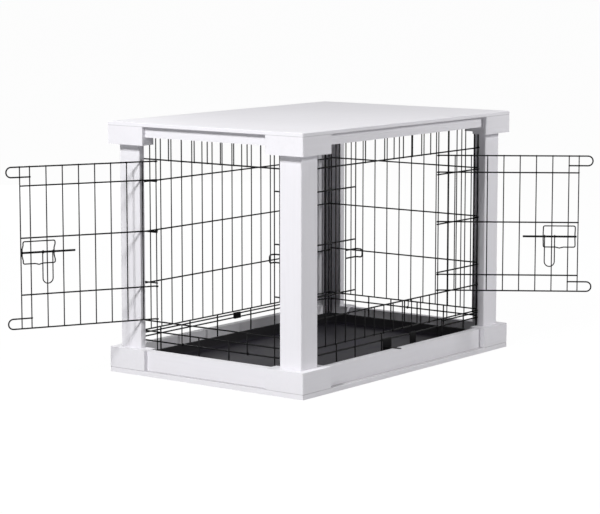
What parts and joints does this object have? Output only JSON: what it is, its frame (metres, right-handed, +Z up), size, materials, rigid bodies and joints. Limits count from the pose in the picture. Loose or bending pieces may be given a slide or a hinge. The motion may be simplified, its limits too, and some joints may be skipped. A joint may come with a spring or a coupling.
{
  "type": "dog crate end table",
  "caption": "Wooden side table with corner posts and blocks, built round a folding wire dog crate with hinged doors, slide bolts and a floor tray.",
  "frame": {"origin": "middle of the base panel's underside", "axes": "+Z up; -Y is the long side with a door, -X is the short end with a door"},
  "size_m": [1.1503, 0.9219, 0.61],
  "materials": {
    "white_board": "white painted board, satin",
    "black_wire": "black epoxy coated wire",
    "black_sheet": "black coated sheet steel",
    "black_plastic": "moulded black plastic"
  },
  "bodies": {
    "table": {"top_panel": "white_board", "base_panel": "white_board", "post_front_left": "white_board", "post_front_right": "white_board", "post_back_left": "white_board", "post_back_right": "white_board", "top_block_front_left": "white_board", "top_block_front_right": "white_board", "top_block_back_left": "white_board", "top_block_back_right": "white_board", "bottom_block_front_left": "white_board", "bottom_block_front_right": "white_board", "bottom_block_back_left": "white_board", "bottom_block_back_right": "white_board", "top_rail_front": "white_board", "top_rail_back": "white_board", "top_rail_left": "white_board", "top_rail_right": "white_board", "bottom_rail_front": "white_board", "bottom_rail_back": "white_board", "bottom_rail_left": "white_board", "bottom_rail_right": "white_board", "front_wire_panel": "black_wire", "end_wire_panel": "black_wire", "back_wire_panel": "black_wire", "far_end_wire_panel": "black_wire", "roof_wire_panel": "black_wire", "floor_wire_grid": "black_wire", "front_bolt_keeper": "black_wire", "end_bolt_keeper": "black_wire", "tray": "black_plastic", "tray_clip": "black_sheet", "back_clip": "black_sheet"},
    "front_door": {"front_door": "black_wire", "front_bolt_guide": "black_wire"},
    "front_bolt": {"front_bolt": "black_wire"},
    "front_handle": {"front_bolt_handle": "black_wire"},
    "end_door": {"end_door": "black_wire", "end_bolt_guide": "black_wire"},
    "end_bolt": {"end_bolt": "black_wire"},
    "end_handle": {"end_bolt_handle": "black_wire"},
    "tray_latch": {"tray_latch": "black_sheet"}
  },
  "joints": [
    {"name": "front_door_hinge", "type": "hinge", "parent": "table", "child": "front_door", "pos_m": [0.194, -0.2395, 0.3], "axis": [0, 0, 1], "range_deg": [-123.8, 36]},
    {"name": "front_bolt_slide", "type": "slide", "parent": "front_door", "child": "front_bolt", "axis": [0.5563, -0.831, 0], "range_m": [0, 0.042]},
    {"name": "front_handle_turn", "type": "hinge", "parent": "front_bolt", "child": "front_handle", "pos_m": [0.35987, -0.46312, 0.308], "axis": [0.5563, -0.831, 0], "range_deg": [0, 100]},
    {"name": "end_door_hinge", "type": "hinge", "parent": "table", "child": "end_door", "pos_m": [-0.384, 0.1875, 0.3], "axis": [0, 0, -1], "range_deg": [-117.6, 0]},
    {"name": "end_bolt_slide", "type": "slide", "parent": "end_door", "child": "end_bolt", "axis": [-0.8862, 0.4633, 0], "range_m": [0, 0.042]},
    {"name": "end_handle_turn", "type": "hinge", "parent": "end_bolt", "child": "end_handle", "pos_m": [-0.61625, 0.32408, 0.311], "axis": [0.8862, -0.4633, 0], "range_deg": [0, 100]},
    {"name": "tray_latch_turn", "type": "hinge", "parent": "table", "child": "tray_latch", "pos_m": [-0.024, -0.23634, 0.078], "axis": [-1, 0, 0], "range_deg": [0, 95]}
  ]
}
